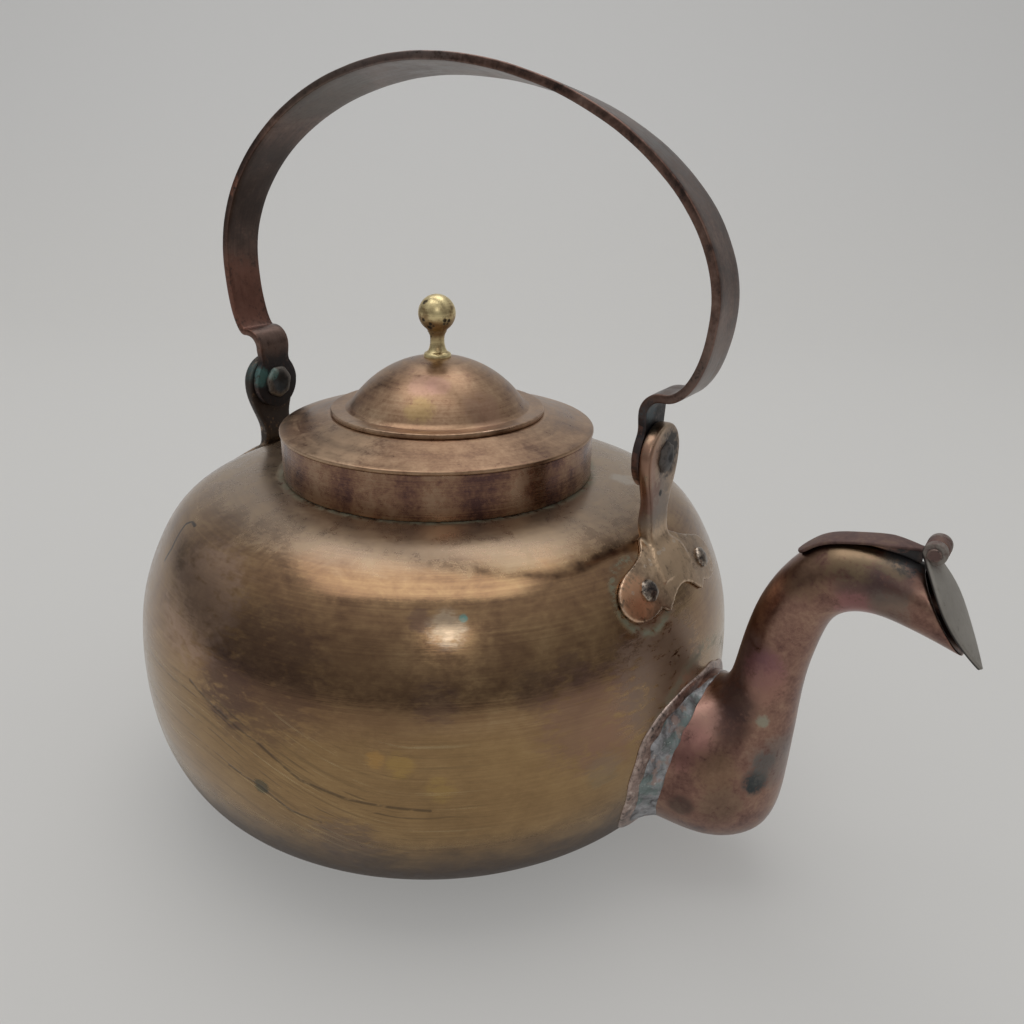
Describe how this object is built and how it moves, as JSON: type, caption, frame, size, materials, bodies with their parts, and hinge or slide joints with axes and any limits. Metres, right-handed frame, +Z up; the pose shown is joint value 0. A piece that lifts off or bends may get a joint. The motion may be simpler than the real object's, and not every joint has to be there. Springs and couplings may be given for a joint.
{
  "type": "gooseneck kettle",
  "caption": "Squat round copper kettle with a gooseneck spout closed by a hinged flap, a lift-off cap lid with a brass knob, and a swinging strap handle on riveted ears.",
  "frame": {"origin": "centre of the kettle's base, on the table", "axes": "+X along the spout, +Z up along the axis of the body, +Y across, to the left of the spout"},
  "size_m": [0.299, 0.2201, 0.2597],
  "materials": {
    "body_copper": "burnished, browned sheet copper",
    "spout_copper": "reddish browned copper with purple patches",
    "flap_copper": "greyish bronzed copper",
    "ear_copper": "browned copper with green grime at the edges",
    "handle_copper": "dark worn copper strap",
    "lid_copper": "red-brown burnished copper",
    "rivet_copper": "hammered copper",
    "knob_brass": "pitted yellow brass",
    "solder": "dull grey tin solder"
  },
  "bodies": {
    "kettle": {"body_shell": "body_copper", "base_pan": "body_copper", "neck_collar": "body_copper", "spout_tube": "spout_copper", "spout_solder": "solder", "spout_hinge_leaf": "spout_copper", "flap_hinge_pin": "rivet_copper", "front_ear": "ear_copper", "rear_ear": "ear_copper", "front_ear_rivets": "rivet_copper", "rear_ear_rivets": "rivet_copper", "front_pivot_rivet": "rivet_copper", "rear_pivot_rivet": "rivet_copper"},
    "handle": {"handle_strap": "handle_copper"},
    "lid": {"lid_skirt": "lid_copper", "lid_top_plate": "lid_copper", "lid_dome": "lid_copper", "lid_knob": "knob_brass", "knob_washer": "knob_brass"},
    "flap": {"spout_flap": "flap_copper"}
  },
  "joints": [
    {"name": "handle_swing", "type": "hinge", "parent": "kettle", "child": "handle", "pos_m": [0, 0, 0.142], "axis": [1, 0, 0], "range_deg": [-100, 100]},
    {"name": "lid_lift", "type": "slide", "parent": "kettle", "child": "lid", "axis": [0, 0, 1], "range_m": [0, 0.06]},
    {"name": "flap_swing", "type": "hinge", "parent": "kettle", "child": "flap", "pos_m": [0.17169, 0, 0.13094], "axis": [0, -1, 0], "range_deg": [0, 110]}
  ]
}
